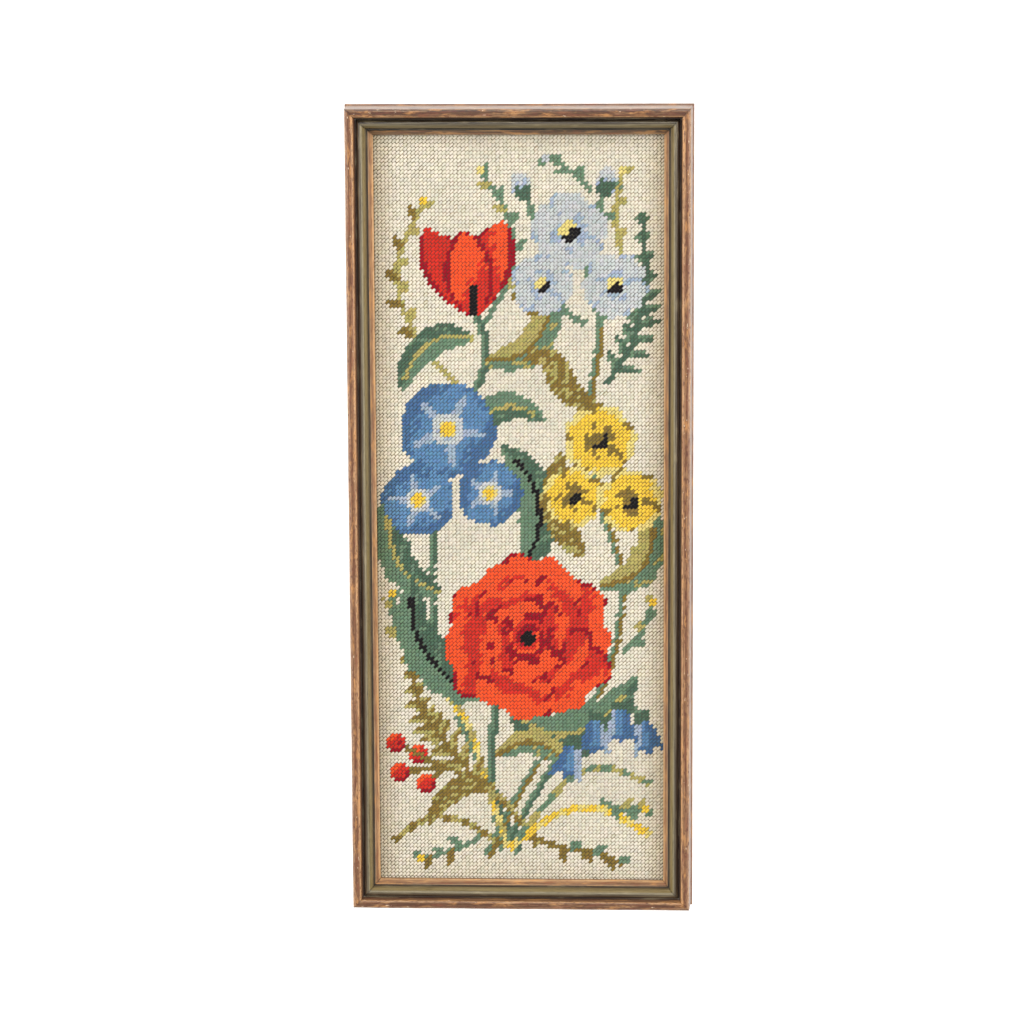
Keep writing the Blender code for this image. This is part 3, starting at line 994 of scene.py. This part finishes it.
def work_canvas():
    """One piece for each wool colour; the cream ground is worked in three stretches."""
    pieces = []
    for seed, (name, colour) in enumerate(YARNS.items()):
        rows, columns = np.nonzero(chart == INK[name])
        if not len(rows):
            continue
        material = wool_material(name, colour)
        stretches = 3 if name == "cream" else 1
        for part, chosen in enumerate(np.array_split(np.arange(len(rows)), stretches), 1):
            label = f"wool_{name}_{part}" if stretches > 1 else f"wool_{name}"
            own_seed = 100 * seed + part
            piece = work_stitches(label, rows[chosen], columns[chosen], material, own_seed)
            pieces.append(piece)
    return pieces


# Points of the bare canvas across and up: one for each thread, nearly.
GROUND_POINTS = (80, 202)


def make_ground(material):
    """The bare canvas under the stitches: a thin flat slab."""
    across, up = GROUND_POINTS
    u, v = np.meshgrid(np.linspace(0, 1, across), np.linspace(0, 1, up))
    x = CANVAS_LOW.x + (CANVAS_HIGH.x - CANVAS_LOW.x) * u
    y = CANVAS_LOW.y + (CANVAS_HIGH.y - CANVAS_LOW.y) * v
    top = np.full_like(x, GROUND_TOP)
    under = np.full_like(x, CANVAS_LOW.z)
    points = np.concatenate([np.stack([x, y, z], -1).reshape(-1, 3) for z in (top, under)])
    half = across * up
    faces = []
    for row in range(up - 1):
        for column in range(across - 1):
            a = row * across + column
            faces.append((a, a + 1, a + 1 + across, a + across))
            faces.append((half + a, half + a + across, half + a + 1 + across, half + a + 1))
    rim = list(range(across)) + [r * across + across - 1 for r in range(1, up)]
    rim += [(up - 1) * across + c for c in range(across - 2, -1, -1)]
    rim += [r * across for r in range(up - 2, 0, -1)]
    for a, b in zip(rim, rim[1:] + rim[:1]):
        faces.append((a, half + a, half + b, b))
    return make_mesh("canvas_ground", points, faces, material, smooth=False)


# The studio


# Light boxes, all aimed at the middle: name, place, size and power.
LIGHT_BOXES = (
    ("left_box", (-1.4, 0.2, 1.4), (0.9, 1.3), 18),
    ("right_box", (1.4, 0.2, 1.4), (0.9, 1.3), 18),
    ("top_box", (0.0, 1.5, 1.5), (1.5, 0.8), 24),
)
SKY_STRENGTH = 0.70
FLOOR_REACH = 3.0
SENSOR_WIDTH = 36.0


def add_area_light(name, place, size, power):
    light = bpy.data.lights.new(name, "AREA")
    light.shape = "RECTANGLE"
    light.size, light.size_y = size
    light.energy = power
    obj = bpy.data.objects.new(name, light)
    obj.location = place
    towards = Vector((0, 0, 0)) - Vector(place)
    obj.rotation_euler = towards.to_track_quat("-Z", "Y").to_euler()
    bpy.context.scene.collection.objects.link(obj)


def add_studio():
    reach = FLOOR_REACH
    corners = [(-reach, -reach, 0), (reach, -reach, 0), (reach, reach, 0), (-reach, reach, 0)]
    floor = make_mesh("floor", corners, [(0, 1, 2, 3)], floor_material(), smooth=False)
    world = bpy.data.worlds.new("studio")
    world.use_nodes = True
    sky = world.node_tree.nodes["Background"]
    sky.inputs["Color"].default_value = (1.0, 1.0, 1.0, 1.0)
    sky.inputs["Strength"].default_value = SKY_STRENGTH
    bpy.context.scene.world = world
    for box in LIGHT_BOXES:
        add_area_light(*box)


def add_camera():
    camera = bpy.data.cameras.new("camera")
    camera.lens = CAMERA_LENS
    camera.sensor_width = SENSOR_WIDTH
    obj = bpy.data.objects.new("camera", camera)
    away = Vector((math.tan(LEAN_TO_RIGHT), math.tan(LEAN_TO_TOP), 1.0)).normalized()
    ahead = -away
    right = ahead.cross(Vector((0, 1, 0))).normalized()
    up = right.cross(ahead)
    turned_up = up * math.cos(CAMERA_ROLL) + right * math.sin(CAMERA_ROLL)
    turned_right = ahead.cross(turned_up)
    turn = Matrix((turned_right, turned_up, away)).transposed()
    obj.matrix_world = Matrix.Translation(CAMERA_AIM + away * CAMERA_DISTANCE) @ turn.to_4x4()
    bpy.context.scene.collection.objects.link(obj)
    bpy.context.scene.camera = obj


def main():
    bpy.context.scene.view_settings.view_transform = "Standard"
    add_camera()
    add_studio()
    paint = moulding_material()
    for seed, side in enumerate(("top", "bottom", "left", "right"), 1):
        rail = make_rail(side, paint, seed)
        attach(rail, BODY)
        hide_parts("frame_rail_" + side)
    draw_chart()
    stitches = work_canvas()
    for piece in stitches:
        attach(piece, BODY)
    ground = make_ground(canvas_material())
    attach(ground, BODY)
    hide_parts("needlepoint_canvas")
    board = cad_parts["back_board"]
    board.data.materials.clear()
    board.data.materials.append(board_material())


main()
